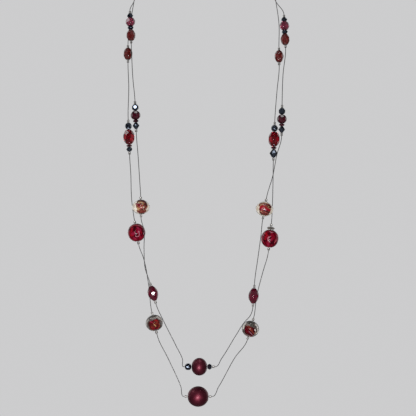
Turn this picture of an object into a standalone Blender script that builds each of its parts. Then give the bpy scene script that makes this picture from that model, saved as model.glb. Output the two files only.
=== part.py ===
"""A two-strand necklace of glass, lampwork and satin pearl beads spaced along fine dark wire.

Metres, +Z up. The origin is the middle of the clasp at the nape, the wearer faces -Y, and +X is
on the right of someone who looks at the wearer. Both strands hang as they do when worn: round the
neck, then down the chest to one pearl each.
"""

import math
from typing import NamedTuple

import bmesh
import bpy
from mathutils import Matrix, Vector

# Wire, crimp beads and the play between the pieces
WIRE_DIAMETER = 0.0005
BORE_CLEARANCE = 0.0003
BEAD_GAP = 0.0003
CRIMP_DIAMETER = 0.0018
CRIMP_LENGTH = 0.0018
CRIMP_BEVEL = 0.0003
WIRE_LEAD = 0.0005

# Bead sizes: the width is across the hole, the length along it
SPACER_WIDTH = 0.0044
SPACER_LENGTH = 0.0029
JET_ROUND_WIDTH = 0.0048
JET_ROUND_LENGTH = 0.0044
SMALL_BICONE_WIDTH = 0.0050
SMALL_BICONE_LENGTH = 0.0044
LARGE_BICONE_WIDTH = 0.0061
LARGE_BICONE_LENGTH = 0.0056
ROSE_WIDTH = 0.0067
ROSE_LENGTH = 0.0062
BRICK_WIDTH = 0.0064
BRICK_LENGTH = 0.0083
GARNET_WIDTH = 0.0068
GARNET_LENGTH = 0.0059
RONDELLE_WIDTH = 0.0042
RONDELLE_LENGTH = 0.0015
RUBY_WIDTH = 0.0081
RUBY_LENGTH = 0.0100
CRANBERRY_WIDTH = 0.0074
CRANBERRY_LENGTH = 0.0104
CAP_WIDTH = 0.0056
CAP_LENGTH = 0.0018
IVORY_WIDTH = 0.0123
IVORY_LENGTH = 0.0097
CRIMSON_WIDTH = 0.0121
CRIMSON_LENGTH = 0.0120
SWIRL_WIDTH = 0.0120
SWIRL_LENGTH = 0.0107
SMALL_PEARL_WIDTH = 0.0121
SMALL_PEARL_LENGTH = 0.0104
LARGE_PEARL_WIDTH = 0.0141
LARGE_PEARL_LENGTH = 0.0141

# Clasp: a barrel with a ring at each end
BARREL_LENGTH = 0.0110
BARREL_DIAMETER = 0.0048
RING_DIAMETER = 0.0050
RING_WIRE = 0.0010
RING_SINK = 0.0006
# From a ring to the crimp that closes the wire's loop round it
CLASP_LEG = 0.0030

# The body that the strands lie on: where the chest stretch starts below the clasp, how far in front
# of it the strands lie there and at their lowest, and how fast the slope eases off
COLLAR_DROP = 0.045
COLLAR_REACH = 0.085
CHEST_REACH = 0.120
CHEST_EASE = 0.045
STRAND_CLEARANCE = 0.0007

# How finely the wire is drawn: sides come from the bevel, points from these two steps
WIRE_BEVEL_RESOLUTION = 1
WIRE_STEP = 0.010
WIRE_TURN = math.radians(15)
STRAIGHT = math.radians(0.1)
LOOP_STEPS = 6

# A route's points are in millimetres, seen from the front. A Bend is a point that the wire passes.
# A Group is the middle of a straight run of beads, named from the clasp end on; its lean is in
# degrees, 0 where it hangs straight down and positive where its foot swings to +X.


class Bend(NamedTuple):
    x: float
    z: float


class Group(NamedTuple):
    x: float
    z: float
    lean: float
    beads: tuple
    crimps: tuple = (True, True)


UPPER_SHORT = ("jet_spacer", "rose_round", "jet_spacer", "brick_oval")
MIDDLE_SHORT = ("jet_round", "garnet_round", "garnet_rondelle", "jet_bicone")
MIDDLE_LONG_LEFT = ("jet_round", "ruby_oval", "garnet_rondelle", "jet_spacer")
MIDDLE_LONG_RIGHT = ("jet_round", "ruby_oval", "garnet_rondelle", "jet_bicone_large")

ROUTES = {
    "short": {
        "left": [
            Bend(-49.7, -45.0),
            Group(-51.6, -63.1, 3.0, UPPER_SHORT),
            Bend(-49.6, -100.2),
            Group(-47.7, -125.6, 2.5, MIDDLE_SHORT),
            Bend(-46.0, -152.0),
            Bend(-44.6, -173.0),
            Group(-44.0, -187.8, 1.0, ("ivory_lampwork",)),
            Bend(-41.9, -203.5),
            Bend(-41.8, -217.0),
            Bend(-41.0, -230.0),
            Group(-35.7, -247.0, 16.0, ("cranberry_bicone",)),
            Bend(-28.4, -266.0),
            Bend(-19.8, -283.1),
            Bend(-15.4, -292.4),
        ],
        "centre": Group(
            -4.6, -297.4, 90.0, ("jet_round", "satin_pearl", "jet_spacer"), (False, True)
        ),
        "right": [
            Bend(49.6, -45.0),
            Group(55.3, -66.0, 2.0, UPPER_SHORT),
            Bend(53.8, -97.0),
            Group(52.9, -128.2, -1.0, MIDDLE_SHORT),
            Bend(49.4, -152.0),
            Bend(46.6, -166.4),
            Group(40.9, -189.2, -10.0, ("ivory_lampwork",)),
            Bend(38.6, -206.0),
            Bend(36.6, -221.0),
            Group(33.4, -248.8, -4.0, ("cranberry_bicone",)),
            Bend(31.2, -262.2),
            Bend(27.3, -266.6),
            Bend(20.7, -276.8),
            Bend(11.4, -291.8),
        ],
    },
    "long": {
        "left": [
            Bend(-49.7, -45.0),
            Bend(-52.3, -64.0),
            Group(-53.3, -81.8, 0.5, ("brick_oval",)),
            Bend(-52.6, -105.0),
            Group(-52.4, -139.7, 2.4, MIDDLE_LONG_LEFT),
            Bend(-51.1, -164.0),
            Bend(-50.3, -184.0),
            Group(-47.0, -205.4, 10.0, ("crimson_lampwork",)),
            Bend(-42.4, -222.5),
            Bend(-38.5, -243.0),
            Group(-34.8, -267.5, 13.0, ("swirl_lampwork",)),
            Bend(-25.0, -292.6),
            Bend(-16.6, -311.2),
        ],
        "centre": Group(-4.7, -318.1, 90.0, ("satin_pearl_large",)),
        "right": [
            Bend(49.6, -45.0),
            Bend(51.5, -62.0),
            Group(51.3, -83.6, 0.5, ("brick_oval",)),
            Bend(49.7, -108.0),
            Group(47.6, -142.5, -2.2, MIDDLE_LONG_RIGHT),
            Bend(46.9, -167.0),
            Bend(46.4, -186.0),
            Group(44.7, -208.5, -6.0, ("cap_disc", "crimson_lampwork")),
            Bend(39.7, -233.0),
            Bend(35.4, -250.0),
            Group(31.3, -271.6, -16.0, ("swirl_lampwork",)),
            Bend(20.7, -291.2),
            Bend(9.4, -311.4),
        ],
    },
}
# The hidden way round one side of the neck, from the clasp on: outwards, forwards and down
NECK_ROUTE = [(26.0, 7.0, 2.0), (38.5, 26.0, 8.5), (45.5, 54.0, 23.0)]
MILLIMETRE = 0.001

# Cut beads: rows of corners from one end to the other, as shares of the half length and half width
CUT_ROUND = [(1.0, 0.42), (0.66, 0.80), (0.0, 1.0), (-0.66, 0.80), (-1.0, 0.42)]
CUT_OVAL = [(1.0, 0.36), (0.72, 0.72), (0.25, 1.0), (-0.25, 1.0), (-0.72, 0.72), (-1.0, 0.36)]
CUT_LONG = [(1.0, 0.30), (0.62, 0.68), (0.16, 1.0), (-0.16, 1.0), (-0.62, 0.68), (-1.0, 0.30)]
CUT_BICONE = [(1.0, 0.36), (0.0, 1.0), (-1.0, 0.36)]
CUT_DISC = [(1.0, 0.66), (0.0, 1.0), (-1.0, 0.66)]
CUT_SIDES = 8
BORE_SIDES = 8
CRIMP_SIDES = 8
# Turned beads: 1 is an ellipse seen from the side, less is fuller and more is leaner. Their flat
# ends start at this share of the half width.
ELLIPSE = 1.0
FULL = 0.95
LEAN = 1.3
TURNED_END = 0.30
TURNED_SIDES = 16
PROFILE_STEPS = 8
# The clasp's barrel from one end to the other, as shares of its half length and radius
BARREL_PROFILE = [
    (1.0, 0.0),
    (1.0, 0.62),
    (0.86, 0.92),
    (0.62, 1.0),
    (-0.62, 1.0),
    (-0.86, 0.92),
    (-1.0, 0.62),
    (-1.0, 0.0),
]
RING_SIDES = 12
RING_WIRE_SIDES = 6
# The two legs of a clasp loop lie side by side in their crimp, each this many wire diameters out
LEG_SPLAY = 0.6
WELD_DISTANCE = 0.00001
SHARP_ANGLE = math.radians(40)

# Colour, roughness and metallic value
FINISHES = {
    "jet": ((0.010, 0.010, 0.013), 0.08, 0.0),
    "rose": ((0.32, 0.06, 0.11), 0.08, 0.0),
    "brick": ((0.22, 0.025, 0.02), 0.08, 0.0),
    "garnet": ((0.05, 0.004, 0.012), 0.08, 0.0),
    "ruby": ((0.25, 0.004, 0.012), 0.06, 0.0),
    "cranberry": ((0.13, 0.006, 0.03), 0.08, 0.0),
    "clear": ((0.55, 0.48, 0.46), 0.08, 0.0),
    "ivory": ((0.75, 0.66, 0.55), 0.12, 0.0),
    "crimson": ((0.32, 0.012, 0.05), 0.10, 0.0),
    "swirl": ((0.45, 0.10, 0.05), 0.10, 0.0),
    "satin": ((0.09, 0.012, 0.025), 0.30, 0.0),
    "wire": ((0.06, 0.06, 0.065), 0.35, 0.9),
    "steel": ((0.55, 0.55, 0.56), 0.25, 1.0),
}
BORE_RADIUS = WIRE_DIAMETER / 2 + BORE_CLEARANCE
# Where the strands cross, the short strand's widest cut bead rides clear of the long strand's wire
STRAND_STANDOFF = CRANBERRY_WIDTH / 2 + WIRE_DIAMETER / 2 + STRAND_CLEARANCE


def clear_scene():
    for obj in list(bpy.data.objects):
        bpy.data.objects.remove(obj, do_unlink=True)


def new_collection(name):
    collection = bpy.data.collections.new(name)
    bpy.context.scene.collection.children.link(collection)
    return collection


def finish(name):
    """The Principled material of that name, made once."""
    found = bpy.data.materials.get(name)
    if found:
        return found
    colour, roughness, metallic = FINISHES[name]
    material = bpy.data.materials.new(name)
    material.use_nodes = True
    shader = material.node_tree.nodes["Principled BSDF"]
    shader.inputs["Base Color"].default_value = (*colour, 1.0)
    shader.inputs["Roughness"].default_value = roughness
    shader.inputs["Metallic"].default_value = metallic
    material.diffuse_color = (*colour, 1.0)
    return material


def add_object(name, mesh, collection):
    obj = bpy.data.objects.new(name, mesh)
    collection.objects.link(obj)
    return obj


def add_helper(name, mesh):
    """An object that only shapes others: it is never rendered."""
    obj = add_object(name, mesh, helpers)
    obj.hide_render = True
    obj.display_type = "WIRE"
    return obj


def mesh_from(bm, name):
    mesh = bpy.data.meshes.new(name)
    bm.to_mesh(mesh)
    bm.free()
    return mesh


def evaluated_mesh(obj, name):
    """The object's mesh with its modifiers applied; the object goes."""
    bpy.context.view_layer.update()
    graph = bpy.context.evaluated_depsgraph_get()
    mesh = bpy.data.meshes.new_from_object(obj.evaluated_get(graph))
    mesh.name = name
    bpy.data.objects.remove(obj, do_unlink=True)
    return mesh


def add_boolean(obj, other, operation):
    modifier = obj.modifiers.new(operation.lower(), "BOOLEAN")
    modifier.operation = operation
    modifier.object = other
    modifier.solver = "EXACT"


def cylinder_mesh(name, radius, length, sides, bevel=0.0):
    """A rod along Z about the origin, its two end edges broken by the bevel."""
    bm = bmesh.new()
    bmesh.ops.create_cone(
        bm, cap_ends=True, segments=sides, radius1=radius, radius2=radius, depth=length
    )
    if bevel:
        ends = [face for face in bm.faces if abs(face.normal.z) > 0.5]
        rims = list({edge for face in ends for edge in face.edges})
        bmesh.ops.bevel(bm, geom=rims, offset=bevel, segments=1, affect="EDGES")
    return mesh_from(bm, name)


# Cut glass beads: the hull of rows of corners, each row turned half a facet from the next, drilled
def cut_bead(name, width, length, rows, staggered=True):
    bm = bmesh.new()
    for row, (height, share) in enumerate(rows):
        turn = math.pi / CUT_SIDES * (row % 2) if staggered else 0.0
        for side in range(CUT_SIDES):
            angle = turn + side * math.tau / CUT_SIDES
            radius = share * width / 2
            bm.verts.new((radius * math.cos(angle), radius * math.sin(angle), height * length / 2))
    bmesh.ops.convex_hull(bm, input=bm.verts)
    body = add_helper(name, mesh_from(bm, name))
    drill = add_helper("drill", cylinder_mesh("drill", BORE_RADIUS, 2 * length, BORE_SIDES))
    add_boolean(body, drill, "DIFFERENCE")
    mesh = evaluated_mesh(body, name)
    bpy.data.objects.remove(drill, do_unlink=True)
    return mesh


def turned_mesh(name, points, closed):
    """A profile of (radius, height) points, from the top down, turned about Z."""
    edges = [(index, index + 1) for index in range(len(points) - 1)]
    if closed:
        edges.append((len(points) - 1, 0))
    mesh = bpy.data.meshes.new(name)
    mesh.from_pydata([(radius, 0.0, height) for radius, height in points], edges, [])
    body = add_helper(name, mesh)
    screw = body.modifiers.new("turn", "SCREW")
    screw.axis = "Z"
    screw.steps = TURNED_SIDES
    screw.render_steps = TURNED_SIDES
    screw.use_merge_vertices = True
    screw.merge_threshold = WELD_DISTANCE
    screw.use_normal_calculate = True
    mesh = evaluated_mesh(body, name)
    mesh.shade_smooth()
    mesh.set_sharp_from_angle(angle=SHARP_ANGLE)
    return mesh


# Lampwork and pearls: one closed profile, its outer side and its bore, turned about the hole
def turned_bead(name, width, length, fullness):
    end_angle = math.acos(TURNED_END ** (1 / fullness))
    outer = []
    for step in range(PROFILE_STEPS + 1):
        angle = end_angle * (1 - 2 * step / PROFILE_STEPS)
        radius = width / 2 * math.cos(angle) ** fullness
        outer.append((radius, length / 2 * math.sin(angle) / math.sin(end_angle)))
    bore = [(BORE_RADIUS, -length / 2), (BORE_RADIUS, length / 2)]
    return turned_mesh(name, outer + bore, closed=True)


class Kind(NamedTuple):
    length: float
    mesh: bpy.types.Mesh


def make_kinds():
    """Each kind of bead, as its length along the wire and its mesh."""
    cut = {
        "jet_spacer": (SPACER_WIDTH, SPACER_LENGTH, CUT_DISC, "jet"),
        "jet_round": (JET_ROUND_WIDTH, JET_ROUND_LENGTH, CUT_ROUND, "jet"),
        "rose_round": (ROSE_WIDTH, ROSE_LENGTH, CUT_ROUND, "rose"),
        "brick_oval": (BRICK_WIDTH, BRICK_LENGTH, CUT_OVAL, "brick"),
        "garnet_round": (GARNET_WIDTH, GARNET_LENGTH, CUT_ROUND, "garnet"),
        "garnet_rondelle": (RONDELLE_WIDTH, RONDELLE_LENGTH, CUT_DISC, "garnet"),
        "ruby_oval": (RUBY_WIDTH, RUBY_LENGTH, CUT_OVAL, "ruby"),
        "cranberry_bicone": (CRANBERRY_WIDTH, CRANBERRY_LENGTH, CUT_LONG, "cranberry"),
        "cap_disc": (CAP_WIDTH, CAP_LENGTH, CUT_DISC, "clear"),
        "jet_bicone": (SMALL_BICONE_WIDTH, SMALL_BICONE_LENGTH, CUT_BICONE, "jet"),
        "jet_bicone_large": (LARGE_BICONE_WIDTH, LARGE_BICONE_LENGTH, CUT_BICONE, "jet"),
    }
    turned = {
        "ivory_lampwork": (IVORY_WIDTH, IVORY_LENGTH, LEAN, "ivory"),
        "crimson_lampwork": (CRIMSON_WIDTH, CRIMSON_LENGTH, FULL, "crimson"),
        "swirl_lampwork": (SWIRL_WIDTH, SWIRL_LENGTH, FULL, "swirl"),
        "satin_pearl": (SMALL_PEARL_WIDTH, SMALL_PEARL_LENGTH, FULL, "satin"),
        "satin_pearl_large": (LARGE_PEARL_WIDTH, LARGE_PEARL_LENGTH, ELLIPSE, "satin"),
    }
    kinds = {}
    for name, (width, length, rows, colour) in cut.items():
        mesh = cut_bead(name, width, length, rows, staggered=rows is not CUT_BICONE)
        mesh.materials.append(finish(colour))
        kinds[name] = Kind(length, mesh)
    for name, (width, length, fullness, colour) in turned.items():
        mesh = turned_bead(name, width, length, fullness)
        mesh.materials.append(finish(colour))
        kinds[name] = Kind(length, mesh)
    return kinds


# Where things lie: front-view places are carried onto the chest, the short strand in front
def chest_depth(z):
    drop = -z - COLLAR_DROP
    return -CHEST_REACH + (CHEST_REACH - COLLAR_REACH) * math.exp(-drop / CHEST_EASE)


def front_point(x, z, standoff):
    return Vector((x, chest_depth(z) - standoff, z))


class Run(NamedTuple):
    """The straight run of wire that carries a group: its ends, its direction and its crimps."""

    start: Vector
    end: Vector
    heading: Vector
    crimps: list


def place_group(group, names, kinds, standoff):
    """Puts a group's beads on a straight axis, and returns the run of wire that carries them."""
    lean = math.radians(group.lean)
    x = group.x * MILLIMETRE
    z = group.z * MILLIMETRE
    beads_length = sum(kinds[kind].length for kind in group.beads)
    length = beads_length + BEAD_GAP * (len(group.beads) - 1)
    reach = Vector((math.sin(lean), 0.0, -math.cos(lean))) * (length / 2)
    start = front_point(x - reach.x, z - reach.z, standoff)
    end = front_point(x + reach.x, z + reach.z, standoff)
    middle = (start + end) / 2
    heading = (end - start).normalized()
    up = -heading
    back = (Vector((0.0, 1.0, 0.0)) - up * up.y).normalized()
    turn = Matrix((back.cross(up), back, up)).transposed().to_4x4()
    along = -length / 2
    for name, kind in zip(names, group.beads):
        bead = add_object(name, kinds[kind].mesh, necklace)
        centre = middle + heading * (along + kinds[kind].length / 2)
        bead.matrix_world = Matrix.Translation(centre) @ turn
        along += kinds[kind].length + BEAD_GAP
    ends = []
    crimps = []
    for sign, crimped in zip((-1, 1), group.crimps):
        reach = length / 2 + BEAD_GAP
        if crimped:
            crimps.append((middle + heading * sign * (reach + CRIMP_LENGTH / 2), heading))
            reach += CRIMP_LENGTH
        ends.append(middle + heading * sign * (reach + WIRE_LEAD))
    return Run(ends[0], ends[1], heading, crimps)


def clasp_end(side, level):
    """A wire's end at one ring: out of its crimp, round the ring and back, as points and the crimp.

    level is the strand's place in the ring, 1 for the upper one and -1 for the lower.
    """
    ring_middle = BARREL_LENGTH / 2 + RING_DIAMETER / 2 - RING_SINK
    ring_radius = (RING_DIAMETER - RING_WIRE) / 2
    loop_radius = RING_WIRE / 2 + BEAD_GAP + WIRE_DIAMETER / 2
    loop_height = level * (WIRE_DIAMETER + 2 * BEAD_GAP) / 2
    loop_x = ring_middle + math.sqrt(ring_radius**2 - loop_height**2)
    crimp_x = loop_x + CLASP_LEG + CRIMP_LENGTH / 2
    crimp_height = level * (CRIMP_DIAMETER + BEAD_GAP) / 2
    splay = WIRE_DIAMETER * LEG_SPLAY
    points = [Vector((crimp_x, -splay, crimp_height))]
    for step in range(LOOP_STEPS + 1):
        angle = -math.pi / 2 - math.pi * step / LOOP_STEPS
        x = loop_x + loop_radius * math.cos(angle)
        points.append(Vector((x, loop_radius * math.sin(angle), loop_height)))
    points.append(Vector((crimp_x, splay, crimp_height)))
    points.append(Vector((crimp_x + CRIMP_LENGTH / 2 + WIRE_LEAD, splay, crimp_height)))
    mirror = Matrix.Diagonal((side, 1.0, 1.0))
    crimp = (mirror @ Vector((crimp_x, 0.0, crimp_height)), Vector((1.0, 0.0, 0.0)))
    return [mirror @ point for point in points], crimp


def neck_points(side, level, standoff):
    """The hidden way from the clasp to the chest. The strands part from one above the other at the
    clasp to one in front of the other on the chest."""
    height = level * (CRIMP_DIAMETER + BEAD_GAP) / 2
    points = []
    for number, (out, forward, down) in enumerate(NECK_ROUTE, start=1):
        share = number / (len(NECK_ROUTE) + 1)
        place = Vector((side * out, -forward, -down)) * MILLIMETRE
        points.append(place + Vector((0.0, -standoff * share, height * (1 - share))))
    return points


def smooth_wire(stations):
    """Points of a smooth wire through the stations, each a point and a heading or None.

    A station without a heading takes the one of its neighbours. Between two stations the wire is a
    cubic, except along a run's straight middle.
    """
    points = [station[0] for station in stations]
    lengths = [(b - a).length for a, b in zip(points, points[1:])]
    headings = []
    for index, (point, heading) in enumerate(stations):
        if heading is None:
            before = (point - points[index - 1]) / lengths[index - 1]
            after = (points[index + 1] - point) / lengths[index]
            share = lengths[index - 1] / (lengths[index - 1] + lengths[index])
            heading = (before * (1 - share) + after * share).normalized()
        headings.append(heading)
    wire = [points[0]]
    for index, length in enumerate(lengths):
        start, end = points[index], points[index + 1]
        leave, arrive = headings[index], headings[index + 1]
        chord = (end - start) / length
        turn = leave.angle(chord) + chord.angle(arrive)
        steps = max(1, math.ceil(turn / WIRE_TURN))
        if turn > STRAIGHT:
            steps = max(steps, math.ceil(length / WIRE_STEP))
        for step in range(1, steps + 1):
            t = step / steps
            wire.append(
                start * (2 * t**3 - 3 * t**2 + 1)
                + end * (3 * t**2 - 2 * t**3)
                + leave * length * (t**3 - 2 * t**2 + t)
                + arrive * length * (t**3 - t**2)
            )
    return wire


def wire_object(name, points, crimps):
    """The strand's wire and its crimps, fused into one body."""
    curve = bpy.data.curves.new(name + "_path", "CURVE")
    curve.dimensions = "3D"
    curve.bevel_depth = WIRE_DIAMETER / 2
    curve.bevel_resolution = WIRE_BEVEL_RESOLUTION
    curve.use_fill_caps = True
    spline = curve.splines.new("POLY")
    spline.points.add(len(points) - 1)
    for target, point in zip(spline.points, points):
        target.co = (*point, 1.0)
    mesh = evaluated_mesh(add_helper(name + "_path", curve), name)
    bm = bmesh.new()
    bm.from_mesh(mesh)
    bmesh.ops.remove_doubles(bm, verts=bm.verts, dist=WELD_DISTANCE)
    bmesh.ops.recalc_face_normals(bm, faces=bm.faces)
    bm.to_mesh(mesh)
    bm.free()
    mesh.materials.clear()
    mesh.materials.append(finish("wire"))
    wire = add_object(name, mesh, necklace)

    crimp_mesh = cylinder_mesh("crimp", CRIMP_DIAMETER / 2, CRIMP_LENGTH, CRIMP_SIDES, CRIMP_BEVEL)
    bm = bmesh.new()
    for centre, heading in crimps:
        first = len(bm.verts)
        bm.from_mesh(crimp_mesh)
        bm.verts.ensure_lookup_table()
        turn = Vector((0.0, 0.0, 1.0)).rotation_difference(heading).to_matrix().to_4x4()
        bmesh.ops.transform(bm, matrix=Matrix.Translation(centre) @ turn, verts=bm.verts[first:])
    add_boolean(wire, add_helper(name + "_crimps", mesh_from(bm, name + "_crimps")), "UNION")
    return wire


def build_strand(strand, level, standoff, kinds):
    """One strand from the left end of the clasp, down, along and up to the right end of it."""
    route = ROUTES[strand]
    crimps = []

    def stations_of(stops, label):
        stations = []
        number = 0
        digits = 2 if label != "centre" else 1
        for stop in stops:
            if isinstance(stop, Bend):
                place = front_point(stop.x * MILLIMETRE, stop.z * MILLIMETRE, standoff)
                stations.append((place, None))
                continue
            names = []
            for kind in stop.beads:
                number += 1
                names.append(f"{strand}_{label}_{number:0{digits}d}_{kind}")
            run = place_group(stop, names, kinds, standoff)
            crimps.extend(run.crimps)
            stations.append((run.start, run.heading))
            stations.append((run.end, run.heading))
        return stations

    def backwards(stations):
        return [(point, heading and -heading) for point, heading in reversed(stations)]

    def down_one_side(label, side):
        loop, crimp = clasp_end(side, level)
        crimps.append(crimp)
        outwards = Vector((side, 0.0, 0.0))
        neck = [(point, None) for point in neck_points(side, level, standoff)]
        return loop[:-1], [(loop[-1], outwards)] + neck + stations_of(route[label], label)

    left_loop, left = down_one_side("left", -1)
    right_loop, right = down_one_side("right", 1)
    centre = stations_of([route["centre"]], "centre")
    wire = smooth_wire(left + centre + backwards(right))
    return wire_object(f"{strand}_strand_wire", left_loop + wire + right_loop[::-1], crimps)


# Clasp: a turned barrel with its axis along X, and a ring fused to each end
def build_clasp():
    profile = [
        (BARREL_DIAMETER / 2 * radius_share, BARREL_LENGTH / 2 * height_share)
        for height_share, radius_share in BARREL_PROFILE
    ]
    mesh = turned_mesh("barrel_clasp", profile, closed=False)
    mesh.transform(Matrix.Rotation(math.pi / 2, 4, "Y"))
    mesh.materials.append(finish("steel"))
    clasp = add_object("barrel_clasp", mesh, necklace)
    for side, label in ((-1, "left"), (1, "right")):
        bpy.ops.mesh.primitive_torus_add(
            major_segments=RING_SIDES,
            minor_segments=RING_WIRE_SIDES,
            major_radius=(RING_DIAMETER - RING_WIRE) / 2,
            minor_radius=RING_WIRE / 2,
            location=(side * (BARREL_LENGTH / 2 + RING_DIAMETER / 2 - RING_SINK), 0.0, 0.0),
            rotation=(math.pi / 2, 0.0, 0.0),
        )
        ring = bpy.context.object
        ring.name = f"ring_{label}"
        for collection in list(ring.users_collection):
            collection.objects.unlink(ring)
        helpers.objects.link(ring)
        ring.hide_render = True
        ring.display_type = "WIRE"
        add_boolean(clasp, ring, "UNION")


clear_scene()
necklace = new_collection("beaded_necklace")
helpers = new_collection("cutters")
bead_kinds = make_kinds()
build_strand("short", 1, STRAND_STANDOFF, bead_kinds)
build_strand("long", -1, 0.0, bead_kinds)
build_clasp()
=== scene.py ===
"""A two-strand necklace of cut glass, lampwork and satin pearl beads on fine dark wire.

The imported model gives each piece's place. This script dresses it: smooth coated wire, squeezed
crimps, ground facets, lampwork with its trails of coloured glass, and pearls with a satin coat.
"""

import math
import random
from typing import NamedTuple

import bmesh
import bpy
import numpy as np
from mathutils import Matrix, Vector, noise


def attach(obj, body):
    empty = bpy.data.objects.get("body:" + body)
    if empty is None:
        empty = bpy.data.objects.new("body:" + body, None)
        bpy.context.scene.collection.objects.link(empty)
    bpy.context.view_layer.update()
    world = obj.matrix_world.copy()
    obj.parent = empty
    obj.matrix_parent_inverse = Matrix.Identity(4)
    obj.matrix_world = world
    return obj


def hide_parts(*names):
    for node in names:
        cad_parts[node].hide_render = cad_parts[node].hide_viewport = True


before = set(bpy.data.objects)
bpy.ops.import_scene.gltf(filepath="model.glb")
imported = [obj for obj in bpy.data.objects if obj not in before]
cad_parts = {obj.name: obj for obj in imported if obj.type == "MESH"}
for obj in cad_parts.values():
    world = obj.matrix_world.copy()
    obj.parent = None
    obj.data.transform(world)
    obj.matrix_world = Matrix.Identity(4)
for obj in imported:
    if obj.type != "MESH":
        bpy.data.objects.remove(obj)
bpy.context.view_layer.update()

# Wires. Each strand is one fine dark beading wire, steel strands laid up in a thin nylon coat.
# It runs from a ring of the clasp round one side of the neck, down the chest and up the other
# side. The beads hang on it in groups, and a crimp bead on each side keeps each group in place.
WIRE_DIAMETER = 0.0005
BEAD_GAP = 0.0003
CRIMP_DIAMETER = 0.0018
CRIMP_LENGTH = 0.0018
WIRE_LEAD = 0.0005
MILLIMETRE = 0.001
# Length of each kind of bead along the wire
ROOM = {
    "jet_spacer": 0.0029,
    "jet_round": 0.0044,
    "jet_bicone": 0.0044,
    "jet_bicone_large": 0.0056,
    "rose_round": 0.0062,
    "brick_oval": 0.0083,
    "garnet_round": 0.0059,
    "garnet_rondelle": 0.0015,
    "ruby_oval": 0.0100,
    "cranberry_bicone": 0.0104,
    "cap_disc": 0.0018,
    "ivory_lampwork": 0.0097,
    "crimson_lampwork": 0.0120,
    "swirl_lampwork": 0.0107,
    "satin_pearl": 0.0104,
    "satin_pearl_large": 0.0141,
}
# The slope that the strands lie on, and how far the short strand rides in front of the long one
COLLAR_DROP = 0.045
COLLAR_REACH = 0.085
CHEST_REACH = 0.120
CHEST_EASE = 0.045
SHORT_STANDOFF = 0.00465
# The clasp and the loop that each wire makes round its ring
BARREL_LENGTH = 0.0110
RING_DIAMETER = 0.0050
RING_WIRE = 0.0010
RING_SINK = 0.0006
CLASP_LEG = 0.0030
LEG_SPLAY = 0.6
LOOP_STEPS = 16
WIRE_STEP = 0.002
WIRE_TURN = math.radians(4)
WIRE_WELD = 0.000002


class Group(NamedTuple):
    """A run of beads: its middle as seen from the front, its lean, its beads and its two crimps."""

    x: float
    z: float
    lean: float
    beads: tuple
    crimps: tuple = (True, True)


UPPER_SHORT = ("jet_spacer", "rose_round", "jet_spacer", "brick_oval")
MIDDLE_SHORT = ("jet_round", "garnet_round", "garnet_rondelle", "jet_bicone")
MIDDLE_LONG_LEFT = ("jet_round", "ruby_oval", "garnet_rondelle", "jet_spacer")
MIDDLE_LONG_RIGHT = ("jet_round", "ruby_oval", "garnet_rondelle", "jet_bicone_large")

# The way of each strand, seen from the front, in millimetres and degrees: bends and bead groups
ROUTES = {
    "short": {
        "left": [
            (-49.7, -45.0),
            Group(-51.6, -63.1, 3.0, UPPER_SHORT),
            (-49.6, -100.2),
            Group(-47.7, -125.6, 2.5, MIDDLE_SHORT),
            (-46.0, -152.0), (-44.6, -173.0),
            Group(-44.0, -187.8, 1.0, ("ivory_lampwork",)),
            (-41.9, -203.5), (-41.8, -217.0),
            (-41.0, -230.0),
            Group(-35.7, -247.0, 16.0, ("cranberry_bicone",)),
            (-28.4, -266.0), (-19.8, -283.1),
            (-15.4, -292.4),
        ],
        "centre": Group(
            -4.6, -297.4, 90.0, ("jet_round", "satin_pearl", "jet_spacer"), (False, True)
        ),
        "right": [
            (49.6, -45.0),
            Group(55.3, -66.0, 2.0, UPPER_SHORT),
            (53.8, -97.0),
            Group(52.9, -128.2, -1.0, MIDDLE_SHORT),
            (49.4, -152.0), (46.6, -166.4),
            Group(40.9, -189.2, -10.0, ("ivory_lampwork",)),
            (38.6, -206.0), (36.6, -221.0),
            Group(33.4, -248.8, -4.0, ("cranberry_bicone",)),
            (31.2, -262.2), (27.3, -266.6),
            (20.7, -276.8), (11.4, -291.8),
        ],
    },
    "long": {
        "left": [
            (-49.7, -45.0), (-52.3, -64.0),
            Group(-53.3, -81.8, 0.5, ("brick_oval",)),
            (-52.6, -105.0),
            Group(-52.4, -139.7, 2.4, MIDDLE_LONG_LEFT),
            (-51.1, -164.0), (-50.3, -184.0),
            Group(-47.0, -205.4, 10.0, ("crimson_lampwork",)),
            (-42.4, -222.5), (-38.5, -243.0),
            Group(-34.8, -267.5, 13.0, ("swirl_lampwork",)),
            (-25.0, -292.6), (-16.6, -311.2),
        ],
        "centre": Group(-4.7, -318.1, 90.0, ("satin_pearl_large",)),
        "right": [
            (49.6, -45.0), (51.5, -62.0),
            Group(51.3, -83.6, 0.5, ("brick_oval",)),
            (49.7, -108.0),
            Group(47.6, -142.5, -2.2, MIDDLE_LONG_RIGHT),
            (46.9, -167.0), (46.4, -186.0),
            Group(44.7, -208.5, -6.0, ("cap_disc", "crimson_lampwork")),
            (39.7, -233.0), (35.4, -250.0),
            Group(31.3, -271.6, -16.0, ("swirl_lampwork",)),
            (20.7, -291.2), (9.4, -311.4),
        ],
    },
}
NECK_ROUTE = [(26.0, 7.0, 2.0), (38.5, 26.0, 8.5), (45.5, 54.0, 23.0)]

# Filled in as the strands are laid: each bead's place, and each strand's crimps
bead_places = {}
strand_crimps = {"short": [], "long": []}


def front_point(x, z, standoff):
    """A place seen from the front, carried onto the slope of the chest."""
    ease = math.exp((z + COLLAR_DROP) / CHEST_EASE)
    return Vector((x, (CHEST_REACH - COLLAR_REACH) * ease - CHEST_REACH - standoff, z))


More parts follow.
